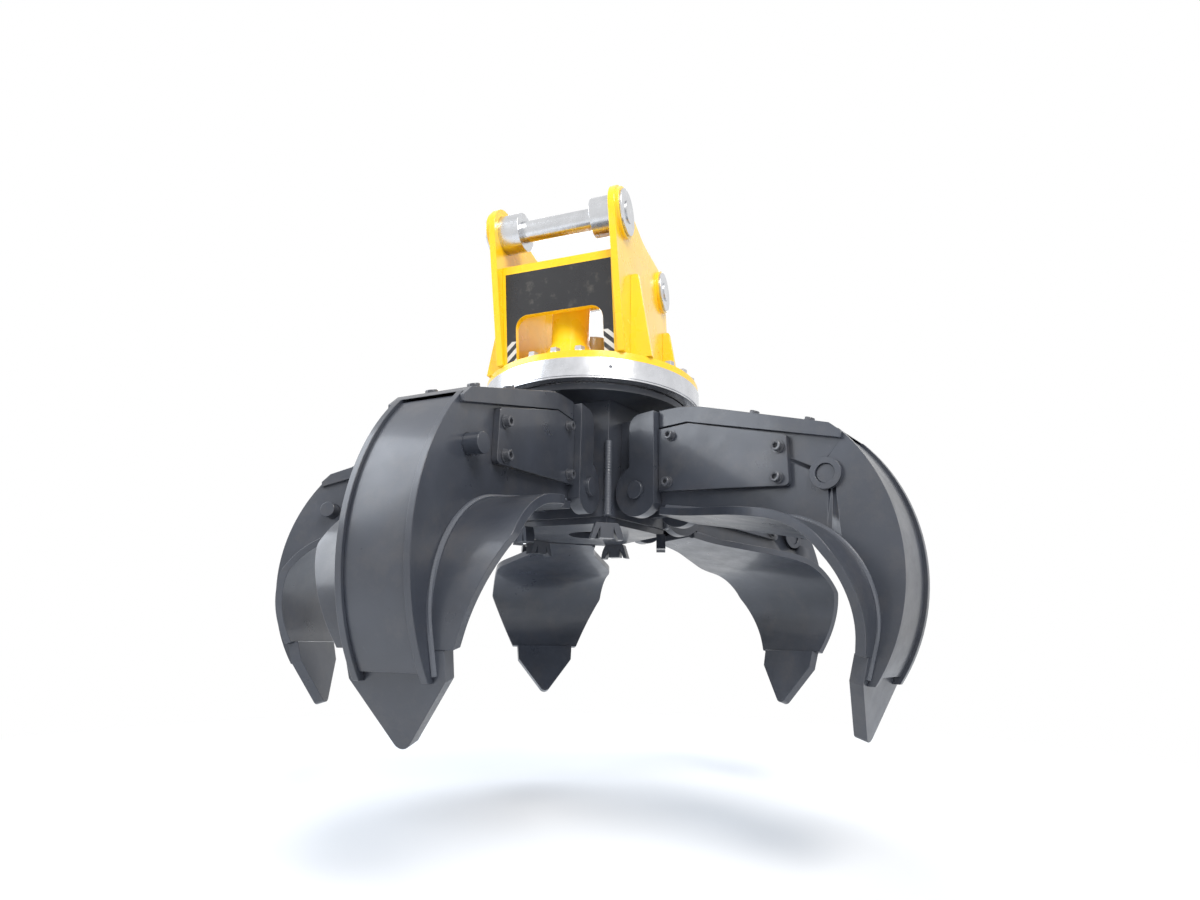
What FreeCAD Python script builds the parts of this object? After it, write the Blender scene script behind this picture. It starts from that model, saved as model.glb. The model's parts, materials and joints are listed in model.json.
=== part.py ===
import FreeCAD, Part
import math
import os
import re
import Sketcher

# Five-tine hydraulic orange-peel grapple for an excavator.
#
# Origin: the middle of the stick pin. +X runs along the pins, +Y from the stick pin to the link pin,
# +Z up. The slew axis stands behind the stick pin; heights of the slewing parts are counted from the
# underside of the slew ring. Each tine is drawn once in its own frame: origin at the hinge pin, X
# outwards, Y along the pin, Z up, with the grapple fully open. All lengths are in millimetres.

doc = FreeCAD.newDocument("Grapple")
Vector = FreeCAD.Vector

SIZES = {
    # head pins and their bushes
    "pin_diameter": 70, "pin_end_relief": 0.2, "pin_projection": 4, "pin_spacing": 508,
    "link_pin_drop": 7, "bush_diameter": 128, "bush_inner_length": 72,
    "bush_flange_diameter": 148, "bush_flange_thickness": 8, "bush_clearance": 0.05,
    # head plates
    "ear_gap": 392, "ear_thickness": 22, "ear_end_radius": 88, "ear_boss_radius": 82,
    "ear_boss_thickness": 12, "ear_foot_front": 33, "ear_foot_rear": 660, "ear_dip_place": 262,
    "ear_dip_height": 53, "ear_dip_radius": 420, "slew_axis_place": 360, "stick_pin_height": 550,
    "cross_plate_height": 332, "cross_plate_thickness": 20, "front_plate_foot": 44,
    "front_plate_lean": 59, "rear_plate_place": 590, "window_width": 300, "window_height": 160,
    "window_radius": 42, "gusset_thickness": 20, "gusset_foot": 72, "gusset_head": 26,
    "gusset_height": 300, "gusset_radius": 12, "front_gusset_place": 108, "rear_gusset_place": 552,
    # slew ring, drive and swivel
    "ring_outer_radius": 380, "ring_height": 60, "ring_split_radius": 318, "ring_gap": 2,
    "ring_step": 8, "port_radius": 6, "port_depth": 24, "port_angle": 298, "guard_thickness": 6,
    "flange_thickness": 25, "flange_edge": 3, "bolt_circle_radius": 354, "bolt_count": 28,
    "bolt_head_width": 30, "bolt_head_height": 15, "bolt_washer_radius": 18,
    "bolt_washer_height": 4, "gear_module": 6, "ring_teeth": 90, "pinion_teeth": 14,
    "tooth_backlash": 1.4, "tooth_root_clearance": 1.5, "pinion_height": 44, "pinion_lift": 2,
    "pinion_shaft_radius": 24, "drive_hole_radius": 72, "motor_foot_radius": 94,
    "motor_foot_thickness": 22, "motor_neck_rise": 62, "motor_case_radius": 64,
    "motor_case_height": 235, "motor_cap_radius": 48, "motor_cap_height": 60,
    "swivel_hole_radius": 90, "swivel_foot_radius": 112, "swivel_foot_thickness": 14,
    "swivel_case_radius": 82, "swivel_case_height": 190, "spindle_radius": 52,
    "spindle_clearance": 0.3, "spindle_foot_radius": 80, "spindle_foot_thickness": 18,
    # rotor
    "rotor_plate_radius": 340, "rotor_plate_thickness": 22, "rotor_hole_radius": 60,
    "column_flat_distance": 209, "column_wall": 20, "column_bottom": 408,
    "foot_plate_thickness": 20, "foot_plate_hole_radius": 70, "foot_plate_overhang": 6,
    "lug_inner_gap": 120, "lug_thickness": 30, "lug_hinge_radius": 46, "lug_base_radius": 42,
    "bracket_width": 42, "bracket_depth": 30, "bracket_drop": 46, "bracket_place": 242,
    "prong_reach": 30, "prong_drop": 50, "prong_width": 14,
    # tine hinge and cylinder pins
    "tine_count": 5, "first_tine_angle": 50, "hinge_radius": 302, "hinge_drop": 336,
    "hinge_pin_diameter": 55, "hinge_pin_length": 282, "base_pin_rise": 200,
    "cylinder_pin_diameter": 50, "pin_clearance": 0.05, "rod_pin_reach": 570, "rod_pin_drop": 29,
    "rod_pin_recess": 6, "rod_pin_projection": 40, "rod_boss_radius": 41,
    "rod_boss_thickness": 12,
    # tine box
    "box_width": 184, "side_plate_thickness": 16, "root_edge": 54, "root_top": 236,
    "shoulder_reach": 177, "shoulder_height": 230, "shoulder_radius": 380,
    "back_centre_reach": 244, "back_centre_drop": 241, "back_radius": 488, "knee_angle": 41.6,
    "heel_angle": 35.7, "back_plate_end_angle": 33.8, "back_inset": 8, "back_plate_thickness": 14, "back_plate_gap": 0.4,
    "drain_radius": 9, "drain_height": 282, "root_plate_thickness": 38, "root_plate_inner": 28,
    "root_plate_lobe": 80, "root_plate_seam": 66, "root_plate_top": 241,
    "root_corner_radius": 40, "cover_thickness": 10, "cover_flange_thickness": 12,
    "cover_flange_root": 190, "cover_flange_shoulder": 189, "cover_flange_end": 54,
    "cover_end": 590, "cover_nose": 28, "side_cover_thickness": 18, "side_cover_gap": 7,
    "side_cover_end": 478, "side_cover_end_height": 88, "side_cover_root_drop": 8,
    "side_cover_end_drop": 50, "side_cover_corner": 14, "seam_gap": 2,
    # blade and tip
    "blade_thickness": 22, "blade_root_drop": 52, "blade_bend_reach": 732,
    "blade_bend_drop": 178, "blade_bend_radius": 243, "tip_reach": 582, "tip_drop": 653,
    "blade_width": 500, "blade_root_width": 208, "blade_neck_reach": 150,
    "blade_neck_width": 222, "blade_shoulder_reach": 396, "blade_neck_radius": 260,
    "blade_shoulder_radius": 190, "blade_edge_radius": 30, "blade_taper_drop": 245,
    "blade_end_drop": 515, "blade_end_width": 236, "blade_root_play": 1, "tip_length": 198,
    "tip_thickness": 32, "tip_top_width": 246, "tip_shoulder_length": 62,
    "tip_shoulder_width": 236, "tip_point_radius": 24,
    # hydraulic cylinder, drawn along its own axis from the base pin
    "barrel_radius": 44, "barrel_bore_radius": 36, "barrel_start": 30, "barrel_bore_start": 62,
    "barrel_length": 542, "gland_length": 26, "gland_bore_radius": 30, "base_eye_radius": 42,
    "rod_radius": 22, "piston_radius": 28, "piston_start": 76, "piston_length": 40,
    "rod_eye_radius": 42, "eye_play": 2,
}

sheet = doc.addObject("Spreadsheet::Sheet", "Sizes")
for row, (alias, number) in enumerate(SIZES.items(), start=1):
    sheet.set(f"A{row}", alias)
    sheet.set(f"B{row}", str(number))
    sheet.setAlias(f"B{row}", alias)
doc.recompute()


# ---------------------------------------------------------------- binding and sketching helpers

def bound(text):
    """The expression with the sheet's name put before each size."""
    return re.sub(r"[a-z_]{3,}", lambda word: f"Sizes.{word[0]}" if word[0] in SIZES else word[0], str(text))


def value(text):
    """The expression's present value as a plain number."""
    return float(sheet.evalExpression(re.sub(r"Sizes\.", "", bound(text))))


def bind(item, **properties):
    """Bind each named property of an object to its expression."""
    for name, text in properties.items():
        item.setExpression(name, bound(text))
    return item


def origin_plane(body, role):
    return next(plane for plane in body.Origin.OriginFeatures if plane.Role == role)


def new_body(name):
    return doc.addObject("PartDesign::Body", name)


def new_sketch(body, name, role, offset="0"):
    """An empty sketch on one of the body's origin planes, shifted along the plane's normal."""
    sketch = body.newObject("Sketcher::SketchObject", name)
    sketch.AttachmentSupport = (origin_plane(body, role), "")
    sketch.MapMode = "FlatFace"
    sketch.setExpression("AttachmentOffset.Base.z", bound(offset))
    return sketch


def constrain(sketch, text, kind, *geometry):
    """Add a dimension and bind it to its expression."""
    index = sketch.addConstraint(Sketcher.Constraint(kind, *geometry, value(text)))
    sketch.setExpression(f"Constraints[{index}]", bound(text))


def pin_down(sketch, geometry, point, across, up):
    constrain(sketch, across, "DistanceX", -1, 1, geometry, point)
    constrain(sketch, up, "DistanceY", -1, 1, geometry, point)


def circle(sketch, across, up, radius):
    index = sketch.addGeometry(Part.Circle(Vector(value(across), value(up), 0), Vector(0, 0, 1), value(radius)))
    pin_down(sketch, index, 3, across, up)
    constrain(sketch, radius, "Radius", index)


def turned(vector, degrees):
    angle = math.radians(degrees)
    cosine, sine = math.cos(angle), math.sin(angle)
    return Vector(vector.x * cosine - vector.y * sine, vector.x * sine + vector.y * cosine, 0)


def outline(sketch, corners):
    """Draw a closed anticlockwise outline from (across, up, kind, radius) corners.

    A corner with no kind is sharp. "round" is a corner with a fillet and "boss" an arc about that
    point which both neighbouring lines touch. "arc" is a sharp corner reached along an arc that
    bulges out, and "hollow" one reached along an arc that curves in.
    """
    corners = [tuple(corner) + ("sharp", "0")[len(corner) - 2:] for corner in corners]
    count = len(corners)
    places = [Vector(value(across), value(up), 0) for across, up, kind, radius in corners]
    radii = [value(radius) for across, up, kind, radius in corners]
    kinds = [kind for across, up, kind, radius in corners]
    boss_radii = [radii[i] if kinds[i] == "boss" else 0 for i in range(count)]
    directions = []
    for i in range(count):
        chord = places[(i + 1) % count] - places[i]
        swing = math.degrees(math.asin((boss_radii[i] - boss_radii[(i + 1) % count]) / chord.Length))
        directions.append(turned(chord.normalize(), swing))

    arrivals, departures, middles = [], [], {}
    for i in range(count):
        way_in, way_out = directions[i - 1], directions[i]
        turn = math.degrees(math.atan2(way_in.cross(way_out).z, way_in.dot(way_out)))
        if kinds[i] == "boss":
            middles[i] = (places[i], True)
            arrivals.append(places[i] + turned(way_in, -90) * radii[i])
            departures.append(places[i] + turned(way_out, -90) * radii[i])
        elif kinds[i] == "round":
            setback = radii[i] * math.tan(math.radians(abs(turn)) / 2)
            arrivals.append(places[i] - way_in * setback)
            departures.append(places[i] + way_out * setback)
            side = 90 if turn > 0 else -90
            middles[i] = (arrivals[i] + turned(way_in, side) * radii[i], turn > 0)
        else:
            arrivals.append(places[i])
            departures.append(places[i])

    edges, bends = [], {}
    for i in range(count):
        if i in middles:
            centre, anticlockwise = middles[i]
            bends[i] = add_arc(sketch, centre, arrivals[i], departures[i], radii[i], anticlockwise)
        start, end = departures[i], arrivals[(i + 1) % count]
        if kinds[(i + 1) % count] in ("arc", "hollow"):
            anticlockwise = kinds[(i + 1) % count] == "arc"
            chord = end - start
            radius = radii[(i + 1) % count]
            rise = math.sqrt(radius ** 2 - (chord.Length / 2) ** 2)
            centre = (start + end) * 0.5 + turned(chord.normalize(), 90 if anticlockwise else -90) * rise
            edges.append(add_arc(sketch, centre, start, end, radius, anticlockwise))
            constrain(sketch, corners[(i + 1) % count][3], "Radius", edges[-1][0])
        else:
            edges.append((sketch.addGeometry(Part.LineSegment(start, end)), 1, 2))

    for i in range(count):
        across, up, kind, radius = corners[i]
        edge_in, end_in = edges[i - 1][0], edges[i - 1][2]
        edge_out, start_out = edges[i][0], edges[i][1]
        if i not in bends:
            sketch.addConstraint(Sketcher.Constraint("Coincident", edge_in, end_in, edge_out, start_out))
            pin_down(sketch, edge_out, start_out, across, up)
            continue
        bend, first, last = bends[i]
        sketch.addConstraint(Sketcher.Constraint("Tangent", edge_in, end_in, bend, first))
        sketch.addConstraint(Sketcher.Constraint("Tangent", bend, last, edge_out, start_out))
        constrain(sketch, radius, "Radius", bend)
        if kind == "boss":
            pin_down(sketch, bend, 3, across, up)
        else:
            corner = sketch.addGeometry(Part.Point(places[i]), True)
            pin_down(sketch, corner, 1, across, up)
            sketch.addConstraint(Sketcher.Constraint("PointOnObject", corner, 1, edge_in))
            sketch.addConstraint(Sketcher.Constraint("PointOnObject", corner, 1, edge_out))


def add_arc(sketch, centre, start, end, radius, anticlockwise):
    """Add an arc; returns its index and which of its ends are the start and the end of the way."""
    first, last = (start, end) if anticlockwise else (end, start)
    angles = [math.atan2(point.y - centre.y, point.x - centre.x) for point in (first, last)]
    if angles[1] < angles[0]:
        angles[1] += 2 * math.pi
    arc = Part.ArcOfCircle(Part.Circle(centre, Vector(0, 0, 1), radius), *angles)
    index = sketch.addGeometry(arc)
    return (index, 1, 2) if anticlockwise else (index, 2, 1)


def pad(body, sketch, length, midplane=True, backwards=False):
    feature = body.newObject("PartDesign::Pad", sketch.Name + "Pad")
    feature.Profile = sketch
    feature.Midplane = midplane
    feature.Reversed = backwards
    return bind(feature, Length=length)


def pocket(body, sketch, length):
    """Cut the sketch both ways from its plane."""
    feature = body.newObject("PartDesign::Pocket", sketch.Name + "Pocket")
    feature.Profile = sketch
    feature.Midplane = True
    return bind(feature, Length=length)


def plate(name, role, corners, thickness, offset="0", holes=()):
    """A flat plate: an outline and its round holes, padded both ways from a plane."""
    body = new_body(name)
    sketch = new_sketch(body, name + "Outline", role, offset)
    outline(sketch, corners)
    for hole in holes:
        circle(sketch, *hole)
    pad(body, sketch, thickness)
    return body


def turned_piece(name, corners, axis="V_Axis"):
    """A round piece: a half section in the XZ plane turned about the vertical or the level axis."""
    body = new_body(name)
    sketch = new_sketch(body, name + "Section", "XZ_Plane")
    outline(sketch, corners)
    feature = body.newObject("PartDesign::Revolution", name + "Turned")
    feature.Profile = sketch
    feature.ReferenceAxis = (sketch, [axis])
    feature.Angle = 360
    return body


def rod(name, radius, length, axis, across="0", along="0", up="0"):
    """A cylinder centred on a point, with its axis along X, Y or Z."""
    piece = bind(doc.addObject("Part::Cylinder", name), Radius=radius, Height=length)
    turn = {"X": (Vector(0, 1, 0), 90), "Y": (Vector(1, 0, 0), -90), "Z": (Vector(0, 0, 1), 0)}[axis]
    half = Vector(*[value(length) / 2 if letter == axis else 0 for letter in "XYZ"])
    middle = Vector(value(across), value(along), value(up))
    piece.Placement = FreeCAD.Placement(middle - half, FreeCAD.Rotation(*turn))
    return piece


def together(kind, name, pieces):
    """Part::MultiFuse makes one solid, Part::Compound keeps the pieces apart."""
    group = doc.addObject(kind, name)
    if kind == "Part::Compound":
        group.Links = pieces
    else:
        group.Shapes = pieces
    return group


def cut(name, base, tool):
    piece = doc.addObject("Part::Cut", name)
    piece.Base = base
    piece.Tool = tool
    return piece


def mirrored(name, source, normal):
    copy = doc.addObject("Part::Mirroring", name)
    copy.Source = source
    copy.Normal = normal
    return copy


NODES = {}


def node(label, piece, placement=None):
    """Name a finished sub-part; its label is the name of its file."""
    if placement is not None:
        piece.Placement = placement.multiply(piece.Placement)
    piece.Label = label
    NODES[label] = piece
    return piece


SLEW_FRAME = FreeCAD.Placement(Vector(0, value("slew_axis_place"), -value("stick_pin_height")),
                               FreeCAD.Rotation())

# ---------------------------------------------------------------- head: welded plates

DECK = "(ring_height + flange_thickness - stick_pin_height)"      # top of the head's base flange
EAR_MIDDLE = "(ear_gap + ear_thickness) / 2"
EAR_FACE = "(ear_gap / 2 + ear_thickness)"
PIN_PLACES = (("0", "0"), ("pin_spacing", "-link_pin_drop"))


def ear_plate(name, side):
    """One upright head plate with a raised boss ring round each pin bush."""
    corners = [("ear_foot_front", DECK),
               ("ear_foot_rear", DECK),
               ("pin_spacing", "-link_pin_drop", "boss", "ear_end_radius"),
               ("ear_dip_place", "ear_dip_height", "round", "ear_dip_radius"),
               ("0", "0", "boss", "ear_end_radius")]
    holes = [(place, height, "bush_diameter / 2") for place, height in PIN_PLACES]
    body = plate(name, "YZ_Plane", corners, "ear_thickness", f"{side} * {EAR_MIDDLE}", holes)
    rings = new_sketch(body, name + "Rings", "YZ_Plane", f"{side} * {EAR_FACE}")
    for place, height in PIN_PLACES:
        circle(rings, place, height, "ear_boss_radius")
        circle(rings, place, height, "bush_diameter / 2")
    pad(body, rings, "ear_boss_thickness", midplane=False, backwards=side < 0)
    return body


node("head_side_plates", together("Part::Compound", "Ears", [ear_plate("RightEar", 1), ear_plate("LeftEar", -1)]))

# The front cross plate leans forwards between the side plates; its arch lets a hand reach the drive.
front = plate("FrontPlate", "YZ_Plane",
              [("front_plate_foot", DECK),
               ("front_plate_foot + cross_plate_thickness", DECK),
               ("front_plate_foot - front_plate_lean + cross_plate_thickness", f"{DECK} + cross_plate_height"),
               ("front_plate_foot - front_plate_lean", f"{DECK} + cross_plate_height")],
              "ear_gap")
window = new_sketch(front, "Window", "XZ_Plane")
outline(window, [("-window_width / 2", f"{DECK} - window_radius"),
                 ("window_width / 2", f"{DECK} - window_radius"),
                 ("window_width / 2", f"{DECK} + window_height", "round", "window_radius"),
                 ("-window_width / 2", f"{DECK} + window_height", "round", "window_radius")])
pocket(front, window, "4 * (front_plate_foot + cross_plate_thickness)")
node("head_front_plate", front)

node("head_rear_plate", plate("RearPlate", "YZ_Plane",
                              [("rear_plate_place", DECK),
                               ("rear_plate_place + cross_plate_thickness", DECK),
                               ("rear_plate_place + cross_plate_thickness", f"{DECK} + cross_plate_height"),
                               ("rear_plate_place", f"{DECK} + cross_plate_height")],
                              "ear_gap"))

gussets = []
for number, place in enumerate(("front_gusset_place", "rear_gusset_place")):
    gusset = plate(f"Gusset{number}", "XZ_Plane",
                   [(EAR_FACE, DECK),
                    (f"{EAR_FACE} + gusset_foot", DECK),
                    (f"{EAR_FACE} + gusset_head", f"{DECK} + gusset_height", "round", "gusset_radius"),
                    (EAR_FACE, f"{DECK} + gusset_height")],
                   "gusset_thickness", f"-{place}")
    gussets += [gusset, mirrored(f"LeftGusset{number}", gusset, Vector(1, 0, 0))]
node("head_gussets", together("Part::Compound", "Gussets", gussets))

# ---------------------------------------------------------------- head: pins and bushes

BUSH_FACE = f"({EAR_FACE} + ear_boss_thickness)"


def bush(name, side, place, height):
    """A flanged steel bush that runs through the side plate and stands in towards the stick."""
    inner_end = "(ear_gap / 2 - bush_inner_length)"
    sleeve = rod(name + "Sleeve", "bush_diameter / 2", f"{BUSH_FACE} - {inner_end}", "X",
                 f"{side} * ({BUSH_FACE} + {inner_end}) / 2", place, height)
    flange = rod(name + "Flange", "bush_flange_diameter / 2", "bush_flange_thickness", "X",
                 f"{side} * ({BUSH_FACE} + bush_flange_thickness / 2)", place, height)
    bore = rod(name + "Bore", "pin_diameter / 2 + bush_clearance", f"2 * {BUSH_FACE}", "X",
               f"{side} * {BUSH_FACE}", place, height)
    return cut(name, together("Part::MultiFuse", name + "Blank", [sleeve, flange]), bore)


def head_pin(name, place, height):
    """A pin whose ends are relieved where they sit in the bushes."""
    ends = rod(name + "Ends", "(pin_diameter - pin_end_relief) / 2",
               f"2 * ({BUSH_FACE} + bush_flange_thickness + pin_projection)", "X", "0", place, height)
    middle = rod(name + "Middle", "pin_diameter / 2", "ear_gap - 2 * bush_inner_length", "X", "0",
                 place, height)
    return together("Part::MultiFuse", name, [ends, middle])


bushes = [bush(f"Bush{number}{'RL'[side < 0]}", side, place, height)
          for number, (place, height) in enumerate(PIN_PLACES) for side in (1, -1)]
node("pin_bushes", together("Part::Compound", "Bushes", bushes))
node("stick_pin", head_pin("StickPin", *PIN_PLACES[0]))
node("link_pin", head_pin("LinkPin", *PIN_PLACES[1]))

# ---------------------------------------------------------------- head: base flange and slew ring

DRIVE_RADIUS = "(gear_module * (ring_teeth - pinion_teeth) / 2)"
DECK_RISE = "(ring_height + flange_thickness)"

flange = new_body("BaseFlange")
flange_sketch = new_sketch(flange, "FlangeOutline", "XY_Plane", "ring_height + flange_thickness / 2")
circle(flange_sketch, "0", "0", "ring_outer_radius - flange_edge")
circle(flange_sketch, "0", "0", "swivel_hole_radius")
circle(flange_sketch, "0", f"-{DRIVE_RADIUS}", "drive_hole_radius")
pad(flange, flange_sketch, "flange_thickness")
node("head_base_flange", flange, SLEW_FRAME)

outer_ring = turned_piece("OuterRing", [("ring_split_radius + ring_gap", "0"),
                                        ("ring_outer_radius", "0"),
                                        ("ring_outer_radius", "ring_height"),
                                        ("ring_split_radius + ring_gap", "ring_height")])
port = rod("GreasePort", "port_radius", "2 * port_depth", "X", "ring_outer_radius", "0", "ring_height / 2")
port.Placement = FreeCAD.Placement(Vector(), FreeCAD.Rotation(Vector(0, 0, 1), value("port_angle"))).multiply(
    port.Placement)
ported_ring = cut("PortedRing", outer_ring, port)

# A thin guard ring under the outer ring covers the gap round the rotor's top plate.
guard_ring = turned_piece("GuardRing", [("rotor_plate_radius + ring_gap", "-guard_thickness"),
                                        ("ring_outer_radius - flange_edge", "-guard_thickness"),
                                        ("ring_outer_radius - flange_edge", "0"),
                                        ("rotor_plate_radius + ring_gap", "0")])
node("slew_outer_ring", together("Part::Compound", "OuterRingSet", [ported_ring, guard_ring]), SLEW_FRAME)


def clear_of_plates(angle):
    """Whether a flange bolt at this angle misses the side plates and gussets."""
    reach = value("bolt_circle_radius")
    across = abs(reach * math.cos(angle))
    along = reach * math.sin(angle) + value("slew_axis_place")
    margin = value("bolt_washer_radius") + 4
    beside_ear = value(EAR_FACE) + margin < across or across < value("ear_gap / 2") - margin
    half = value("gusset_thickness") / 2 + margin
    beside_gussets = across < value(EAR_FACE) or all(abs(along - value(place)) > half for place in
                                                     ("front_gusset_place", "rear_gusset_place"))
    inner_plates = across < value("ear_gap / 2")
    along_front = value("front_plate_foot") - margin < along < value("front_plate_foot + cross_plate_thickness") + margin
    along_rear = value("rear_plate_place") - margin < along < value("rear_plate_place + cross_plate_thickness") + margin
    return beside_ear and beside_gussets and not (inner_plates and (along_front or along_rear))


bolts = []
for number in range(int(value("bolt_count"))):
    angle = math.radians(360 * number / value("bolt_count") - 90)
    if not clear_of_plates(angle):
        continue
    middle = (f"bolt_circle_radius * cos({math.degrees(angle)})", f"bolt_circle_radius * sin({math.degrees(angle)})")
    washer = rod(f"Washer{number}", "bolt_washer_radius", "bolt_washer_height", "Z", *middle,
                 f"{DECK_RISE} + bolt_washer_height / 2")
    head = bind(doc.addObject("Part::Prism", f"BoltHead{number}"), Circumradius="bolt_head_width / sqrt(3)",
                Height="bolt_head_height")
    head.Polygon = 6
    head.Placement.Base = Vector(value(middle[0]), value(middle[1]), value(f"{DECK_RISE} + bolt_washer_height"))
    bolts.append(together("Part::MultiFuse", f"FlangeBolt{number}", [washer, head]))
node("flange_bolts", together("Part::Compound", "FlangeBolts", bolts), SLEW_FRAME)

# ---------------------------------------------------------------- slew drive


def gear_wire(teeth, tip_radius, root_radius, phase=0.0):
    """Closed toothed outline: straight flanks through the pitch circle, with flat tips and roots."""
    module = value("gear_module")
    pitch_radius = module * teeth / 2
    tooth_angle = 2 * math.pi / teeth
    half_tooth = math.pi / (2 * teeth) - value("tooth_backlash") / (2 * pitch_radius)
    slope = math.tan(math.radians(20))
    points = []
    for tooth in range(teeth):
        middle = tooth * tooth_angle + phase
        for radius, side in ((root_radius, -1), (tip_radius, -1), (tip_radius, 1), (root_radius, 1)):
            outwards = 1 if tip_radius > root_radius else -1
            half = half_tooth - outwards * (radius - pitch_radius) * slope / pitch_radius
            angle = middle + side * half
            points.append(Vector(radius * math.cos(angle), radius * math.sin(angle), 0))
    return Part.makePolygon(points + points[:1])


ring_pitch = value("gear_module * ring_teeth / 2")
pinion_pitch = value("gear_module * pinion_teeth / 2")
module = value("gear_module")
root_depth = module + value("tooth_root_clearance")

# The inner ring carries the rotor; its internal teeth are straight-flanked and face the pinion.
inner_ring = doc.addObject("Part::Feature", "InnerRing")
rim = Part.Wire(Part.makeCircle(value("ring_split_radius")))
teeth_wire = gear_wire(int(value("ring_teeth")), ring_pitch - module, ring_pitch + root_depth, -math.pi / 2)
blank = Part.makeFace([rim, teeth_wire], "Part::FaceMakerBullseye")
inner_ring.Shape = blank.extrude(Vector(0, 0, value("ring_height")))
node("slew_inner_ring", inner_ring, SLEW_FRAME.multiply(
    FreeCAD.Placement(Vector(0, 0, -value("ring_step")), FreeCAD.Rotation())))

# The pinion stands on the motor shaft, with one tooth gap turned to the ring's tooth.
pinion = doc.addObject("Part::Feature", "Pinion")
pinion_wire = gear_wire(int(value("pinion_teeth")), pinion_pitch + module, pinion_pitch - root_depth,
                        -math.pi / 2 + math.pi / value("pinion_teeth"))
pinion_gear = Part.Face(pinion_wire).extrude(Vector(0, 0, value("pinion_height")))
pinion_shaft = Part.makeCylinder(value("pinion_shaft_radius"), value(f"{DECK_RISE} - pinion_lift"))
pinion.Shape = pinion_gear.fuse(pinion_shaft)
node("slew_pinion", pinion, SLEW_FRAME.multiply(
    FreeCAD.Placement(Vector(0, -value(DRIVE_RADIUS), value("pinion_lift")), FreeCAD.Rotation())))

motor = turned_piece("Motor", [("0", DECK_RISE + " + ring_gap"),
                               ("pinion_shaft_radius + ring_gap", DECK_RISE + " + ring_gap"),
                               ("pinion_shaft_radius + ring_gap", DECK_RISE),
                               ("motor_foot_radius", DECK_RISE),
                               ("motor_foot_radius", DECK_RISE + " + motor_foot_thickness"),
                               ("motor_case_radius", DECK_RISE + " + motor_foot_thickness + motor_neck_rise"),
                               ("motor_case_radius", DECK_RISE + " + motor_case_height"),
                               ("motor_cap_radius", DECK_RISE + " + motor_case_height"),
                               ("motor_cap_radius", DECK_RISE + " + motor_case_height + motor_cap_height"),
                               ("0", DECK_RISE + " + motor_case_height + motor_cap_height")])
node("slew_motor", motor, SLEW_FRAME.multiply(
    FreeCAD.Placement(Vector(0, -value(DRIVE_RADIUS), 0), FreeCAD.Rotation())))

# ---------------------------------------------------------------- hydraulic swivel on the slew axis

SPINDLE_BORE = "(spindle_radius + spindle_clearance)"
node("swivel_housing", turned_piece("SwivelHousing", [
    (SPINDLE_BORE, DECK_RISE), ("swivel_foot_radius", DECK_RISE),
    ("swivel_foot_radius", DECK_RISE + " + swivel_foot_thickness"),
    ("swivel_case_radius", DECK_RISE + " + swivel_foot_thickness"),
    ("swivel_case_radius", DECK_RISE + " + swivel_case_height"),
    (SPINDLE_BORE, DECK_RISE + " + swivel_case_height")]), SLEW_FRAME)
node("swivel_spindle", turned_piece("SwivelSpindle", [
    ("0", "-ring_step"), ("spindle_foot_radius", "-ring_step"),
    ("spindle_foot_radius", "spindle_foot_thickness - ring_step"),
    ("spindle_radius", "spindle_foot_thickness - ring_step"),
    ("spindle_radius", DECK_RISE + " + swivel_case_height + swivel_foot_thickness"),
    ("0", DECK_RISE + " + swivel_case_height + swivel_foot_thickness")]), SLEW_FRAME)

# ---------------------------------------------------------------- rotor

ROTOR_UNDERSIDE = "(-ring_step - rotor_plate_thickness)"
SPREAD = "(360 / tine_count)"
FIRST_TINE = FreeCAD.Rotation(Vector(0, 0, 1), value("first_tine_angle"))
ROTOR_FRAME = SLEW_FRAME.multiply(FreeCAD.Placement(Vector(), FIRST_TINE))

node("rotor_top_plate", turned_piece("RotorPlate", [
    ("rotor_hole_radius", ROTOR_UNDERSIDE), ("rotor_plate_radius", ROTOR_UNDERSIDE),
    ("rotor_plate_radius", "-ring_step"), ("rotor_hole_radius", "-ring_step")]), SLEW_FRAME)


def many_sided(name, flat_distance, height, bottom):
    """An upright prism with one flat towards each tine."""
    prism = doc.addObject("Part::Prism", name)
    bind(prism, Circumradius=f"({flat_distance}) / cos({SPREAD} / 2)", Height=height)
    prism.Polygon = int(value("tine_count"))
    prism.Placement = FreeCAD.Placement(Vector(0, 0, value(bottom)),
                                        FreeCAD.Rotation(Vector(0, 0, 1), value(f"{SPREAD} / 2")))
    return prism


COLUMN_HEIGHT = f"(column_bottom + {ROTOR_UNDERSIDE})"
column = cut("Column", many_sided("ColumnOutside", "column_flat_distance", COLUMN_HEIGHT, "-column_bottom"),
             many_sided("ColumnInside", "column_flat_distance - column_wall", COLUMN_HEIGHT, "-column_bottom"))
node("rotor_column", column, ROTOR_FRAME)

foot = cut("FootPlate", many_sided("FootOutside", "column_flat_distance - foot_plate_overhang",
                                   "foot_plate_thickness", "-column_bottom - foot_plate_thickness"),
           rod("FootHole", "foot_plate_hole_radius", "3 * foot_plate_thickness", "Z", "0", "0", "-column_bottom"))
foot.Placement = ROTOR_FRAME.multiply(foot.Placement)


def tine_placement(number):
    """Frame of one tine: at its hinge pin, with X pointing outwards."""
    angle = value("first_tine_angle") + 360 / value("tine_count") * number
    arm = turned(Vector(value("hinge_radius"), 0, 0), angle)
    hinge = Vector(arm.x, arm.y, -value("hinge_drop"))
    return SLEW_FRAME.multiply(FreeCAD.Placement(hinge, FreeCAD.Rotation(Vector(0, 0, 1), angle)))



def around_the_hub(label, master):
    """One copy of a piece drawn in the tine frame at every tine, kept together as one node."""
    copies = [linked(master, f"{master.Name}Copy{number}", tine_placement(number))
              for number in range(int(value("tine_count")))]
    return node(label, together("Part::Compound", master.Name + "Set", copies))


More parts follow.
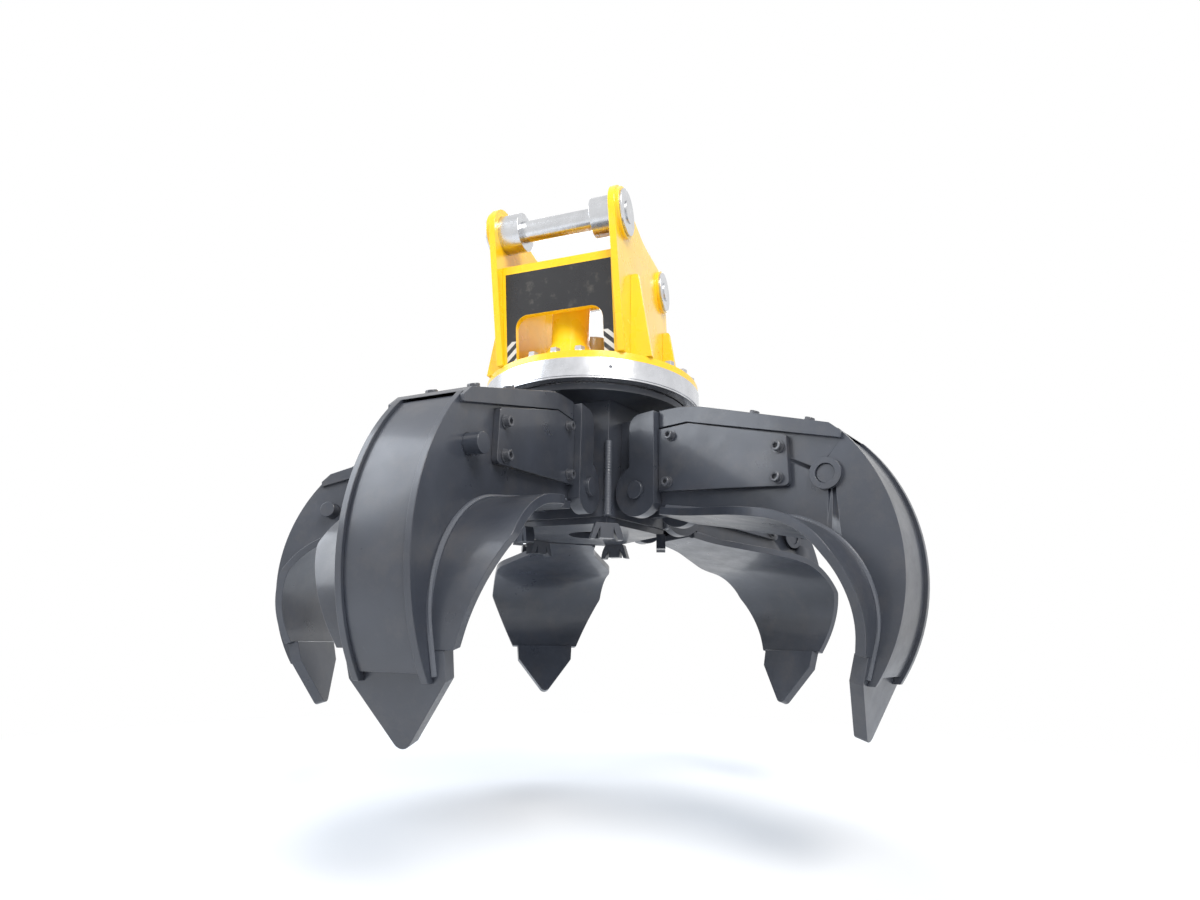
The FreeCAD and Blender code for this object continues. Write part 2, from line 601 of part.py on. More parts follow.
def linked(master, name, placement):
    """A placed copy that shares its master's shape."""
    copy = doc.addObject("App::Link", name)
    copy.LinkedObject = master
    copy.LinkTransform = True
    copy.Placement = placement
    return copy


# Two lugs on each flat of the column carry the hinge pin below and the cylinder's base pin above.
FLAT_PLACE = "(column_flat_distance - hinge_radius)"
LUG_TOP = f"(hinge_drop + {ROTOR_UNDERSIDE})"
LUG_MIDDLE = "(lug_inner_gap + lug_thickness) / 2"
HINGE_BORE = "(hinge_pin_diameter / 2 + pin_clearance)"
CYLINDER_PIN_BORE = "(cylinder_pin_diameter / 2 + pin_clearance)"
lug = plate("Lug", "XZ_Plane",
            [(FLAT_PLACE, "-lug_hinge_radius"),
             ("0", "0", "boss", "lug_hinge_radius"),
             ("0", "base_pin_rise", "boss", "lug_base_radius"),
             (FLAT_PLACE, "base_pin_rise + lug_base_radius")],
            "lug_thickness", LUG_MIDDLE,
            [("0", "0", HINGE_BORE), ("0", "base_pin_rise", CYLINDER_PIN_BORE)])
lug_pair = together("Part::Compound", "LugPair", [lug, mirrored("OtherLug", lug, Vector(0, 1, 0))])
around_the_hub("rotor_lugs", lug_pair)

base_pin = rod("BasePin", "cylinder_pin_diameter / 2", "lug_inner_gap + 2 * lug_thickness", "Y",
               "0", "0", "base_pin_rise")
around_the_hub("cylinder_base_pins", base_pin)

# A forked bracket hangs under each corner of the foot plate.
FOOT_UNDERSIDE = "(-column_bottom - foot_plate_thickness)"
BRACKET_HALF = "bracket_width / 2"
right_prong = [(BRACKET_HALF, f"{FOOT_UNDERSIDE} - prong_width"),
               (f"{BRACKET_HALF} + prong_reach - prong_width", f"{FOOT_UNDERSIDE} - prong_drop", "arc", "2 * prong_drop"),
               (f"{BRACKET_HALF} + prong_reach", f"{FOOT_UNDERSIDE} - prong_drop"),
               (f"{BRACKET_HALF} + prong_width", FOOT_UNDERSIDE, "arc", "2 * prong_drop")]
left_prong = [(f"-({BRACKET_HALF} + prong_width)", FOOT_UNDERSIDE),
              (f"-({BRACKET_HALF} + prong_reach)", f"{FOOT_UNDERSIDE} - prong_drop"),
              (f"-({BRACKET_HALF} + prong_reach - prong_width)", f"{FOOT_UNDERSIDE} - prong_drop"),
              (f"-{BRACKET_HALF}", f"{FOOT_UNDERSIDE} - prong_width")]
bracket = plate("Bracket", "YZ_Plane",
                [(f"-{BRACKET_HALF}", f"{FOOT_UNDERSIDE} - bracket_drop"),
                 (BRACKET_HALF, f"{FOOT_UNDERSIDE} - bracket_drop"),
                 *right_prong, *left_prong],
                "bracket_depth", "bracket_place")
brackets = []
for number in range(int(value("tine_count"))):
    angle = value(f"first_tine_angle + {SPREAD} * ({number} + 0.5)")
    turn = FreeCAD.Placement(Vector(), FreeCAD.Rotation(Vector(0, 0, 1), angle))
    brackets.append(linked(bracket, f"BracketCopy{number}", SLEW_FRAME.multiply(turn)))
node("rotor_foot", together("Part::Compound", "FootSet", [foot, *brackets]))

# ---------------------------------------------------------------- tine: fabricated box

BOX_HALF = "box_width / 2"
KNEE = ("(back_centre_reach + back_radius * cos(knee_angle))",
        "(-back_centre_drop + back_radius * sin(knee_angle))")
HEEL = ("(back_centre_reach + back_radius * cos(heel_angle))",
        "(-back_centre_drop - back_radius * sin(heel_angle))")
BLADE_ROOT = ("root_edge", "-blade_root_drop")
BLADE_BEND = ("blade_bend_reach", "-blade_bend_drop", "round", "blade_bend_radius")
HEEL_INNER = (f"tip_reach + (tip_drop + {HEEL[1]}) * (blade_bend_reach - tip_reach) / (tip_drop - blade_bend_drop)",
              HEEL[1])

side_plate = plate("SidePlate", "XZ_Plane",
                   [BLADE_ROOT, BLADE_BEND, HEEL_INNER, HEEL, (*KNEE, "arc", "back_radius"),
                    ("shoulder_reach", "shoulder_height", "round", "shoulder_radius"),
                    ("root_edge", "root_top")],
                   "side_plate_thickness", "(box_width - side_plate_thickness) / 2",
                   [("rod_pin_reach", "-rod_pin_drop", CYLINDER_PIN_BORE)])

# The root plates thicken the box where the hinge pin passes through it.
LOBE_FOOT = "-sqrt(root_plate_lobe ^ 2 - root_plate_seam ^ 2)"
LOBE_NECK = "sqrt(root_plate_lobe ^ 2 - root_plate_inner ^ 2)"
root_plate = plate("RootPlate", "XZ_Plane",
                   [("root_plate_seam", LOBE_FOOT, "arc", "root_plate_lobe"),
                    ("root_plate_seam", "root_plate_top"),
                    ("-root_plate_inner", "root_plate_top", "round", "root_corner_radius"),
                    ("-root_plate_inner", LOBE_NECK),
                    ("-root_plate_lobe", "0", "arc", "root_plate_lobe")],
                   "root_plate_thickness", "(box_width + root_plate_thickness) / 2",
                   [("0", "0", HINGE_BORE)])
half_box = [side_plate, root_plate]
box_pieces = half_box + [mirrored("Other" + piece.Name, piece, Vector(0, 1, 0)) for piece in half_box]

# A plain ring is welded round the rod pin's bore, on the side where the pin is recessed.
boss_ring = cut("RodPinRing",
                rod("RodPinBoss", "rod_boss_radius", "rod_boss_thickness", "Y", "rod_pin_reach",
                    f"-({BOX_HALF} + rod_boss_thickness / 2)", "-rod_pin_drop"),
                rod("RodPinBossBore", CYLINDER_PIN_BORE, "box_width", "Y", "rod_pin_reach",
                    f"-{BOX_HALF}", "-rod_pin_drop"))
side_plates = together("Part::Compound", "BoxPlates", box_pieces + [boss_ring])

# The back plate closes the outside of the box between the side plates.
BACK_OUTER = "(back_radius - back_inset)"
BACK_INNER = "(back_radius - back_inset - back_plate_thickness)"


def on_the_back(radius, angle):
    """A point of the back plate's arc, above the level of its centre for positive angles."""
    return (f"back_centre_reach + {radius} * cos({angle})", f"-back_centre_drop + {radius} * sin({angle})")


back_plate = plate("BackPlate", "XZ_Plane",
                   [(*on_the_back(BACK_INNER, "-back_plate_end_angle"), "hollow", BACK_INNER),
                    on_the_back(BACK_OUTER, "-back_plate_end_angle"),
                    (*on_the_back(BACK_OUTER, "knee_angle"), "arc", BACK_OUTER),
                    on_the_back(BACK_INNER, "knee_angle")],
                   "box_width - 2 * side_plate_thickness")


# ---------------------------------------------------------------- tine: curved blade and tip

# The blade runs along two straight lines and one wide bend; its convex face carries the side plates.
UPPER_RUN = "(blade_bend_reach - root_edge)"
UPPER_FALL = "(blade_bend_drop - blade_root_drop)"
UPPER_LENGTH = f"sqrt({UPPER_RUN} ^ 2 + {UPPER_FALL} ^ 2)"
LOWER_RUN = "(blade_bend_reach - tip_reach)"
LOWER_FALL = "(tip_drop - blade_bend_drop)"
LOWER_LENGTH = f"sqrt({LOWER_RUN} ^ 2 + {LOWER_FALL} ^ 2)"
INWARDS_UPPER = (f"(-{UPPER_FALL} / {UPPER_LENGTH})", f"(-{UPPER_RUN} / {UPPER_LENGTH})")
INWARDS_LOWER = (f"(-{LOWER_FALL} / {LOWER_LENGTH})", f"({LOWER_RUN} / {LOWER_LENGTH})")
BEND_SPREAD = f"(1 + {INWARDS_UPPER[0]} * {INWARDS_LOWER[0]} + {INWARDS_UPPER[1]} * {INWARDS_LOWER[1]})"
BLADE_END = (f"(tip_reach + tip_length * {LOWER_RUN} / {LOWER_LENGTH})",
             f"(tip_length * {LOWER_FALL} / {LOWER_LENGTH} - tip_drop)")


def inwards(point, direction, share="1"):
    """The point moved through the blade's thickness to its concave face."""
    return tuple(f"{place} + blade_thickness * ({along}) / {share}" for place, along in zip(point, direction))


both_ways = tuple(f"{one} + {other}" for one, other in zip(INWARDS_UPPER, INWARDS_LOWER))
blade = new_body("Blade")
profile = new_sketch(blade, "BladeProfile", "XZ_Plane")
outline(profile, [inwards(BLADE_ROOT, INWARDS_UPPER),
                  (*inwards(BLADE_BEND[:2], both_ways, BEND_SPREAD), "round", "blade_bend_radius - blade_thickness"),
                  inwards(BLADE_END, INWARDS_LOWER),
                  BLADE_END,
                  BLADE_BEND,
                  BLADE_ROOT])
pad(blade, profile, "blade_width")

# The trim in plan narrows the blade towards its root; the trim seen from the front tapers its end.
BLADE_HALF = "blade_width / 2"
ROOT_STEP = "(root_plate_seam + seam_gap)"
BEYOND = "2 * blade_width"


def mirrored_outline(half):
    """A closed outline from its right half, listed upwards from the bottom."""
    other = [(f"-({corner[0]})", *corner[1:]) for corner in reversed(half)]
    return half + other


def side_trim(name, half, role, length):
    """The blank's offcuts beside the blade: a wide slab less the blade's own outline."""
    keep = new_body(name)
    sketch = new_sketch(keep, name + "Outline", role)
    outline(sketch, half)
    pad(keep, sketch, length)
    return keep


plan_half = [("root_edge", f"-({BOX_HALF} - blade_root_play)"),
             (ROOT_STEP, f"-({BOX_HALF} - blade_root_play)"),
             (ROOT_STEP, "-blade_root_width / 2"),
             ("blade_neck_reach", "-blade_neck_width / 2", "round", "blade_neck_radius"),
             ("blade_shoulder_reach", f"-{BLADE_HALF}", "round", "blade_shoulder_radius"),
             ("blade_bend_reach", f"-{BLADE_HALF}")]
plan = plan_half + [(across, along.replace("-", "", 1), *rest) for across, along, *rest in reversed(plan_half)]
plan_body = side_trim("BladePlan", plan, "XY_Plane", BEYOND)
front_half = [("blade_end_width / 2", "-blade_end_drop"),
              (BLADE_HALF, "-blade_taper_drop", "round", "blade_edge_radius"),
              (BLADE_HALF, "0")]
front_body = side_trim("BladeFront", mirrored_outline(front_half), "YZ_Plane", f"2 * ({BEYOND})")
blade_in_plan = doc.addObject("Part::Common", "BladeInPlan")
blade_in_plan.Base = blade
blade_in_plan.Tool = plan_body
trimmed_blade = doc.addObject("Part::Common", "TrimmedBlade")
trimmed_blade.Base = blade_in_plan
trimmed_blade.Tool = front_body

# The tip is a thicker pointed plate, butt-welded to the blade with both outer faces in line.
tip = new_body("Tip")
tip_sketch = new_sketch(tip, "TipOutline", "XY_Plane")
outline(tip_sketch, [("0", "-tip_top_width / 2"),
                     ("tip_shoulder_length", "-tip_shoulder_width / 2"),
                     ("tip_length - tip_point_radius", "0", "boss", "tip_point_radius"),
                     ("tip_shoulder_length", "tip_shoulder_width / 2"),
                     ("0", "tip_top_width / 2")])
pad(tip, tip_sketch, "tip_thickness", midplane=False, backwards=True)
dip = math.degrees(math.atan2(value(LOWER_FALL), -value(LOWER_RUN)))
tip.Placement = FreeCAD.Placement(Vector(value(BLADE_END[0]), 0, value(BLADE_END[1])),
                                  FreeCAD.Rotation(Vector(0, 1, 0), dip))

# ---------------------------------------------------------------- tine: bolted covers

COVER_HALF = f"({BOX_HALF} + cover_flange_thickness)"
COVER_SLOPE = f"((shoulder_height - {KNEE[1]}) / ({KNEE[0]} - shoulder_reach))"
COVER_END_HEIGHT = f"(shoulder_height + cover_thickness - (cover_end - shoulder_reach) * {COVER_SLOPE})"

# The top cover is a folded channel that sits over the upper edges of both side plates.
top_cover = new_body("TopCover")
cover_sketch = new_sketch(top_cover, "TopCoverOutline", "XZ_Plane")
outline(cover_sketch, [(ROOT_STEP, "cover_flange_root"),
                       ("shoulder_reach - cover_thickness", "cover_flange_shoulder"),
                       ("cover_end + cover_nose - seam_gap", "cover_flange_end"),
                       ("cover_end + cover_nose", f"{COVER_END_HEIGHT} - cover_nose"),
                       ("cover_end", COVER_END_HEIGHT),
                       ("shoulder_reach", "shoulder_height + cover_thickness", "round",
                        "shoulder_radius + cover_thickness"),
                       (ROOT_STEP, "root_top + cover_thickness")])
pad(top_cover, cover_sketch, f"2 * {COVER_HALF}")
inside_sketch = new_sketch(top_cover, "TopCoverInside", "XZ_Plane")
outline(inside_sketch, [("0", "0"),
                        (f"{KNEE[0]} + cover_nose", "0"),
                        (f"{KNEE[0]} + cover_nose", KNEE[1]),
                        KNEE,
                        ("shoulder_reach", "shoulder_height", "round", "shoulder_radius"),
                        ("root_edge", "root_top"),
                        ("0", "root_top")])
pocket(top_cover, inside_sketch, "box_width")

side_cover = plate("SideCover", "XZ_Plane",
                   [(ROOT_STEP, "-side_cover_root_drop"),
                    ("side_cover_end", "-side_cover_end_drop", "round", "side_cover_corner"),
                    ("side_cover_end", "side_cover_end_height", "round", "side_cover_corner"),
                    ("shoulder_reach", "cover_flange_shoulder - side_cover_gap"),
                    (ROOT_STEP, "cover_flange_root - side_cover_gap")],
                   "side_cover_thickness", "(box_width + side_cover_thickness) / 2")
covers = together("Part::Compound", "Covers",
                  [top_cover, side_cover, mirrored("OtherSideCover", side_cover, Vector(0, 1, 0))])

# ---------------------------------------------------------------- tine: pins and hydraulic cylinder

hinge_pin = rod("HingePin", "hinge_pin_diameter / 2", "hinge_pin_length", "Y")
RECESSED_END = f"({BOX_HALF} + rod_boss_thickness - rod_pin_recess)"
PROUD_END = f"({BOX_HALF} + rod_pin_projection)"
rod_pin = rod("RodPin", "cylinder_pin_diameter / 2", f"{RECESSED_END} + {PROUD_END}", "Y",
              "rod_pin_reach", f"({PROUD_END} - {RECESSED_END}) / 2", "-rod_pin_drop")
tine_pins = together("Part::Compound", "TinePins", [hinge_pin, rod_pin])

BASE_TO_ROD = "sqrt(rod_pin_reach ^ 2 + (base_pin_rise + rod_pin_drop) ^ 2)"
cylinder_tilt = math.degrees(math.atan2(value("base_pin_rise + rod_pin_drop"), value("rod_pin_reach")))
CYLINDER_FRAME = FreeCAD.Placement(Vector(0, 0, value("base_pin_rise")),
                                   FreeCAD.Rotation(Vector(0, 1, 0), cylinder_tilt))

# The barrel is a tube with a closed base, a pin eye behind it and a gland at its open end.
tube = turned_piece("BarrelTube", [("barrel_start", "0"), ("barrel_bore_start", "0"),
                                   ("barrel_bore_start", "barrel_bore_radius"),
                                   ("barrel_length - gland_length", "barrel_bore_radius"),
                                   ("barrel_length - gland_length", "gland_bore_radius"),
                                   ("barrel_length", "gland_bore_radius"),
                                   ("barrel_length", "barrel_radius"),
                                   ("barrel_start", "barrel_radius")], "H_Axis")
base_eye = rod("BaseEye", "base_eye_radius", "lug_inner_gap - 2 * eye_play", "Y")
base_eye_bore = rod("BaseEyeBore", CYLINDER_PIN_BORE, "2 * lug_inner_gap", "Y")
barrel = cut("Barrel", together("Part::MultiFuse", "BarrelBlank", [tube, base_eye]), base_eye_bore)
barrel.Placement = CYLINDER_FRAME

# The rod carries the piston inside the barrel and its own eye between the tine's side plates.
shaft = turned_piece("RodShaft", [("piston_start", "0"), (BASE_TO_ROD, "0"), (BASE_TO_ROD, "rod_radius"),
                                  ("piston_start + piston_length", "rod_radius"),
                                  ("piston_start + piston_length", "piston_radius"),
                                  ("piston_start", "piston_radius")], "H_Axis")
rod_eye = rod("RodEye", "rod_eye_radius", "box_width - 2 * side_plate_thickness - 2 * eye_play", "Y",
              BASE_TO_ROD)
rod_eye_bore = rod("RodEyeBore", CYLINDER_PIN_BORE, "box_width", "Y", BASE_TO_ROD)
cylinder_rod = cut("CylinderRod", together("Part::MultiFuse", "RodBlank", [shaft, rod_eye]), rod_eye_bore)
cylinder_rod.Placement = CYLINDER_FRAME

TINE_PIECES = (("side_plates", side_plates), ("back_plate", back_plate), ("blade", trimmed_blade),
               ("tip", tip), ("covers", covers), ("pins", tine_pins),
               ("cylinder_barrel", barrel), ("cylinder_rod", cylinder_rod))
for number in range(int(value("tine_count"))):
    letter = "abcde"[number]
    for piece_name, master in TINE_PIECES:
        label = f"tine_{letter}_{piece_name}"
        copy = linked(master, f"Tine{letter}{master.Name}", tine_placement(number))
        node(label, together("Part::Compound", f"Tine{letter}{master.Name}Piece", [copy]))

# ---------------------------------------------------------------- check and write

doc.recompute()
for item in doc.Objects:
    if {"Invalid", "Error"} & set(item.State):
        raise RuntimeError(f"{item.Name} did not compute: {item.State}")
for label, piece in NODES.items():
    if piece.Shape.isNull() or not piece.Shape.isValid() or not piece.Shape.Solids:
        raise RuntimeError(f"{label} is not a valid solid")

os.makedirs("parts", exist_ok=True)
for label, piece in NODES.items():
    piece.Shape.exportStep(f"parts/{label}.step")
    box = piece.Shape.BoundBox
    print(f"{label}: {len(piece.Shape.Solids)} solids, {piece.Shape.Volume / 1e6:.2f} l, "
          f"x {box.XMin:.0f}..{box.XMax:.0f} y {box.YMin:.0f}..{box.YMax:.0f} z {box.ZMin:.0f}..{box.ZMax:.0f}")
print(len(NODES), "nodes")
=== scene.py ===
import json
import math

import bmesh
import bpy
import numpy as np
from mathutils import Matrix, Vector

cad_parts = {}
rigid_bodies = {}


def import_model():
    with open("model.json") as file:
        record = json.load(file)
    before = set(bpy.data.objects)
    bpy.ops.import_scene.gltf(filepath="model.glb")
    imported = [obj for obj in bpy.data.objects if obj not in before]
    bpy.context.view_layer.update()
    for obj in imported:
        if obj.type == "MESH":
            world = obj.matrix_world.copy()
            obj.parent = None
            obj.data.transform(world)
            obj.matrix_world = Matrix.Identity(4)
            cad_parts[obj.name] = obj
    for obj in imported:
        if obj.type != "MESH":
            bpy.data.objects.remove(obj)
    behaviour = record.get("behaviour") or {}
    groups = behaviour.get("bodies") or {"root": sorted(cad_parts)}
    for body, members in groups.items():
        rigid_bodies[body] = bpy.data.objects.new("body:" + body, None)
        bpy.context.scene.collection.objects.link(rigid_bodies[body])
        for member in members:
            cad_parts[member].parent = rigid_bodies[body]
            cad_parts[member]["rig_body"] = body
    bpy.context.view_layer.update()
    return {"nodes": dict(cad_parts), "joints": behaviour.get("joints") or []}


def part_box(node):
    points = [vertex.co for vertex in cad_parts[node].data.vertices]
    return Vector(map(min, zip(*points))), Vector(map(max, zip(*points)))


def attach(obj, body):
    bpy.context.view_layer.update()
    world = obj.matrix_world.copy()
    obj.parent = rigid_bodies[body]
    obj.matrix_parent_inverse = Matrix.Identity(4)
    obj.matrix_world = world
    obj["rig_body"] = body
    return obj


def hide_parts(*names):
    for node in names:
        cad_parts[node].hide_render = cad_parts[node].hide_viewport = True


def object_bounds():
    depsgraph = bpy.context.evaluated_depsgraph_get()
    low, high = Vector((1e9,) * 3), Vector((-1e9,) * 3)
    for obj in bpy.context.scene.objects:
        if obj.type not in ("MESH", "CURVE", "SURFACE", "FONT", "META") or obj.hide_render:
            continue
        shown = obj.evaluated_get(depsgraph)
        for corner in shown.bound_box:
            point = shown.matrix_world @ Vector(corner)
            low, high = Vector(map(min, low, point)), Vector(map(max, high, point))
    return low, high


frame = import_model()
JOINTS = {joint["name"]: joint for joint in frame["joints"]}
TINES = "abcde"

# ---------------------------------------------------------------- studio
# The grapple hangs over a plain pale floor in a white room.
# A large soft light stands above on each side and the room itself gives the rest.

floor_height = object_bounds()[0].z - 0.32


def studio_floor(reach=60.0):
    """A square floor: a two by two grid of corners at its own zero height."""
    across, along = np.meshgrid([-reach, reach], [-reach, reach])
    corners = np.stack([across.ravel(), along.ravel(), np.zeros(4)], axis=1)
    mesh = bpy.data.meshes.new("studio_floor")
    mesh.from_pydata(corners.tolist(), [], [(0, 1, 3, 2)])
    return mesh


def seen_directly(nodes, links):
    """1 for camera, glossy and transmission rays, 0 for the light that falls on other things."""
    rays = nodes.new("ShaderNodeLightPath")
    seen = rays.outputs["Is Camera Ray"]
    for ray in ("Is Glossy Ray", "Is Transmission Ray"):
        either = nodes.new("ShaderNodeMath")
        either.operation = "MAXIMUM"
        links.new(seen, either.inputs[0])
        links.new(rays.outputs[ray], either.inputs[1])
        seen = either.outputs[0]
    return seen


def pale_floor_paint(near=1.9, far=3.4):
    """Matt near-white paint that takes the soft shadow and melts into the white room further out."""
    material = bpy.data.materials.new("pale_floor")
    material.use_nodes = True
    nodes, links = material.node_tree.nodes, material.node_tree.links
    nodes.clear()
    matt = nodes.new("ShaderNodeBsdfDiffuse")
    matt.inputs["Color"].default_value = (0.88, 0.88, 0.88, 1)
    white = nodes.new("ShaderNodeEmission")
    distance = nodes.new("ShaderNodeVectorMath")
    distance.operation = "LENGTH"
    links.new(nodes.new("ShaderNodeTexCoord").outputs["Object"], distance.inputs[0])
    away = nodes.new("ShaderNodeMapRange")
    away.inputs["From Min"].default_value = near
    away.inputs["From Max"].default_value = far
    links.new(distance.outputs["Value"], away.inputs["Value"])
    share = nodes.new("ShaderNodeMath")
    share.operation = "MULTIPLY"
    links.new(away.outputs["Result"], share.inputs[0])
    links.new(seen_directly(nodes, links), share.inputs[1])
    melt = nodes.new("ShaderNodeMixShader")
    links.new(share.outputs[0], melt.inputs["Fac"])
    links.new(matt.outputs[0], melt.inputs[1])
    links.new(white.outputs[0], melt.inputs[2])
    links.new(melt.outputs[0], nodes.new("ShaderNodeOutputMaterial").inputs["Surface"])
    return material


floor = bpy.data.objects.new("studio_floor", studio_floor())
floor.location = (0, 0.36, floor_height)
floor.data.materials.append(pale_floor_paint())
bpy.context.scene.collection.objects.link(floor)

world = bpy.data.worlds.new("studio")
world.use_nodes = True
room = world.node_tree.nodes
room.clear()
room_light = room.new("ShaderNodeBackground")
room_light.inputs["Color"].default_value = (0.80, 0.88, 1.0, 1)
room_light.inputs["Strength"].default_value = 0.55
room_white = room.new("ShaderNodeBackground")
room_white.inputs["Color"].default_value = (1, 1, 1, 1)
room_mix = room.new("ShaderNodeMixShader")
room_output = room.new("ShaderNodeOutputWorld")
world.node_tree.links.new(seen_directly(room, world.node_tree.links), room_mix.inputs["Fac"])
world.node_tree.links.new(room_light.outputs[0], room_mix.inputs[1])
world.node_tree.links.new(room_white.outputs[0], room_mix.inputs[2])
world.node_tree.links.new(room_mix.outputs[0], room_output.inputs["Surface"])
bpy.context.scene.world = world
bpy.context.scene.view_settings.view_transform = "Standard"


def soft_light(name, place, target, size, power, colour):
    lamp = bpy.data.lights.new(name, "AREA")
    lamp.shape = "SQUARE"
    lamp.size = size
    lamp.energy = power
    lamp.color = colour
    holder = bpy.data.objects.new(name, lamp)
    holder.location = place
    holder.rotation_euler = (Vector(target) - Vector(place)).to_track_quat("-Z", "Y").to_euler()
    bpy.context.scene.collection.objects.link(holder)


soft_light("key", (3.2, -3.6, 3.4), (0, 0.3, -0.6), 3.0, 420, (1.0, 0.97, 0.93))
soft_light("fill", (-4.2, -2.2, 1.6), (0, 0.3, -0.8), 3.5, 190, (0.88, 0.93, 1.0))
soft_light("back", (-1.5, 4.6, 2.6), (0, 0.3, -0.6), 3.0, 220, (0.92, 0.96, 1.0))

# The camera stands low in front, a little to the right, and looks up at the slew ring.
heading, pitch, roll = math.radians(109.21), math.radians(16.51), math.radians(1.13)
look = Vector((math.cos(heading) * math.cos(pitch), math.sin(heading) * math.cos(pitch), math.sin(pitch)))
level = Vector((math.sin(heading), -math.cos(heading), 0))
upright = level.cross(look)
rightwards = math.cos(roll) * level + math.sin(roll) * upright
upwards = math.cos(roll) * upright - math.sin(roll) * level
lens = bpy.data.cameras.new("camera")
lens.sensor_width = 36
lens.lens = 19.68
lens.clip_start = 0.05
camera = bpy.data.objects.new("camera", lens)
camera.matrix_world = Matrix.Translation((0.760, -1.728, -1.333)) @ Matrix(
    (rightwards, upwards, -look)).transposed().to_4x4()
bpy.context.scene.collection.objects.link(camera)
bpy.context.scene.camera = camera

# ---------------------------------------------------------------- head: welded plates
# The head is cut from steel plate, welded, and sprayed glossy yellow. Each plate has its cut edges
# rounded off a little, and fine orange peel and dust in the paint.


def finished_plate(name, edge, smooth=28.0):
    """A node's solid with its doubled corners merged, flat faces joined and sharp edges rounded off."""
    source = frame["nodes"][name]
    mesh = source.data.copy()
    mesh.materials.clear()
    if mesh.has_custom_normals and "custom_normal" in mesh.attributes:
        mesh.attributes.remove(mesh.attributes["custom_normal"])
    shape = bmesh.new()
    shape.from_mesh(mesh)
    bmesh.ops.remove_doubles(shape, verts=shape.verts, dist=2e-6)
    bmesh.ops.dissolve_limit(shape, angle_limit=math.radians(0.4), verts=shape.verts, edges=shape.edges,
                             use_dissolve_boundaries=False)
    bmesh.ops.recalc_face_normals(shape, faces=shape.faces)
    shape.to_mesh(mesh)
    shape.free()
    mesh.polygons.foreach_set("use_smooth", np.ones(len(mesh.polygons), bool))
    mesh.set_sharp_from_angle(angle=math.radians(smooth))
    piece = bpy.data.objects.new(name + "_finished", mesh)
    bpy.context.scene.collection.objects.link(piece)
    if edge:
        rounding = piece.modifiers.new("rounded_edges", "BEVEL")
        rounding.width = edge
        rounding.segments = 2
        rounding.limit_method = "ANGLE"
        rounding.angle_limit = math.radians(smooth + 4)
        rounding.harden_normals = True
        rounding.use_clamp_overlap = True
    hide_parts(name)
    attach(piece, source["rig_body"])
    return piece


class Finish:
    """A material's node tree with short ways to add what this machine's finishes share."""

    def __init__(self, name):
        self.material = bpy.data.materials.new(name)
        self.material.use_nodes = True
        self.nodes = self.material.node_tree.nodes
        self.links = self.material.node_tree.links
        self.shader = self.nodes["Principled BSDF"]
        self.place = self.nodes.new("ShaderNodeTexCoord").outputs["Object"]

    def noise(self, scale, detail=4.0, roughness=0.55, stretch=None):
        texture = self.nodes.new("ShaderNodeTexNoise")
        texture.inputs["Scale"].default_value = scale
        texture.inputs["Detail"].default_value = detail
        texture.inputs["Roughness"].default_value = roughness
        place = self.place
        if stretch is not None:
            mapping = self.nodes.new("ShaderNodeMapping")
            mapping.inputs["Scale"].default_value = stretch
            self.links.new(place, mapping.inputs["Vector"])
            place = mapping.outputs[0]
        self.links.new(place, texture.inputs["Vector"])
        return texture.outputs["Fac"]

    def spread(self, value, low, high, to_low=0.0, to_high=1.0):
        """The value between low and high, stretched over a new range and held at its ends."""
        node = self.nodes.new("ShaderNodeMapRange")
        node.inputs["From Min"].default_value = low
        node.inputs["From Max"].default_value = high
        node.inputs["To Min"].default_value = to_low
        node.inputs["To Max"].default_value = to_high
        self.links.new(value, node.inputs["Value"])
        return node.outputs["Result"]

    def maths(self, operation, first, second):
        node = self.nodes.new("ShaderNodeMath")
        node.operation = operation
        for socket, item in zip(node.inputs, (first, second)):
            if isinstance(item, (int, float)):
                socket.default_value = item
            else:
                self.links.new(item, socket)
        return node.outputs[0]

    def mix(self, share, first, second):
        node = self.nodes.new("ShaderNodeMix")
        node.data_type = "RGBA"
        self.links.new(share, node.inputs["Factor"])
        for socket, colour in ((node.inputs[6], first), (node.inputs[7], second)):
            if isinstance(colour, tuple):
                socket.default_value = (*colour, 1)
            else:
                self.links.new(colour, socket)
        return node.outputs[2]

    def set(self, **values):
        for name, value in values.items():
            socket = self.shader.inputs[name.replace("_", " ")]
            if isinstance(value, (int, float)):
                socket.default_value = value
            elif isinstance(value, tuple):
                socket.default_value = (*value, 1)
            else:
                self.links.new(value, socket)
        return self

    def bump(self, height, distance, strength=1.0):
        node = self.nodes.new("ShaderNodeBump")
        node.inputs["Strength"].default_value = strength
        node.inputs["Distance"].default_value = distance
        self.links.new(height, node.inputs["Height"])
        if self.shader.inputs["Normal"].is_linked:
            self.links.new(self.shader.inputs["Normal"].links[0].from_socket, node.inputs["Normal"])
        self.links.new(node.outputs[0], self.shader.inputs["Normal"])
        return self

    def axes(self):
        split = self.nodes.new("ShaderNodeSeparateXYZ")
        self.links.new(self.place, split.inputs[0])
        return split.outputs


def yellow_paint():
    """Sprayed gloss yellow: slow drift between two shades, road dust in patches and fine orange peel."""
    finish = Finish("yellow_paint")
    drift = finish.spread(finish.noise(3.0), 0.35, 0.65)
    paint = finish.mix(drift, (0.90, 0.52, 0.006), (0.96, 0.60, 0.012))
    dust = finish.spread(finish.noise(11.0, 6.0, 0.7), 0.56, 0.78, 0.0, 0.22)
    finish.set(Base_Color=finish.mix(dust, paint, (0.60, 0.47, 0.25)),
               Roughness=finish.spread(finish.noise(8.0, 5.0), 0.3, 0.7, 0.20, 0.34), Coat_Weight=0.35,
               Coat_Roughness=0.08)
    return finish.bump(finish.noise(420.0, 2.0), 0.0004, 0.25).material


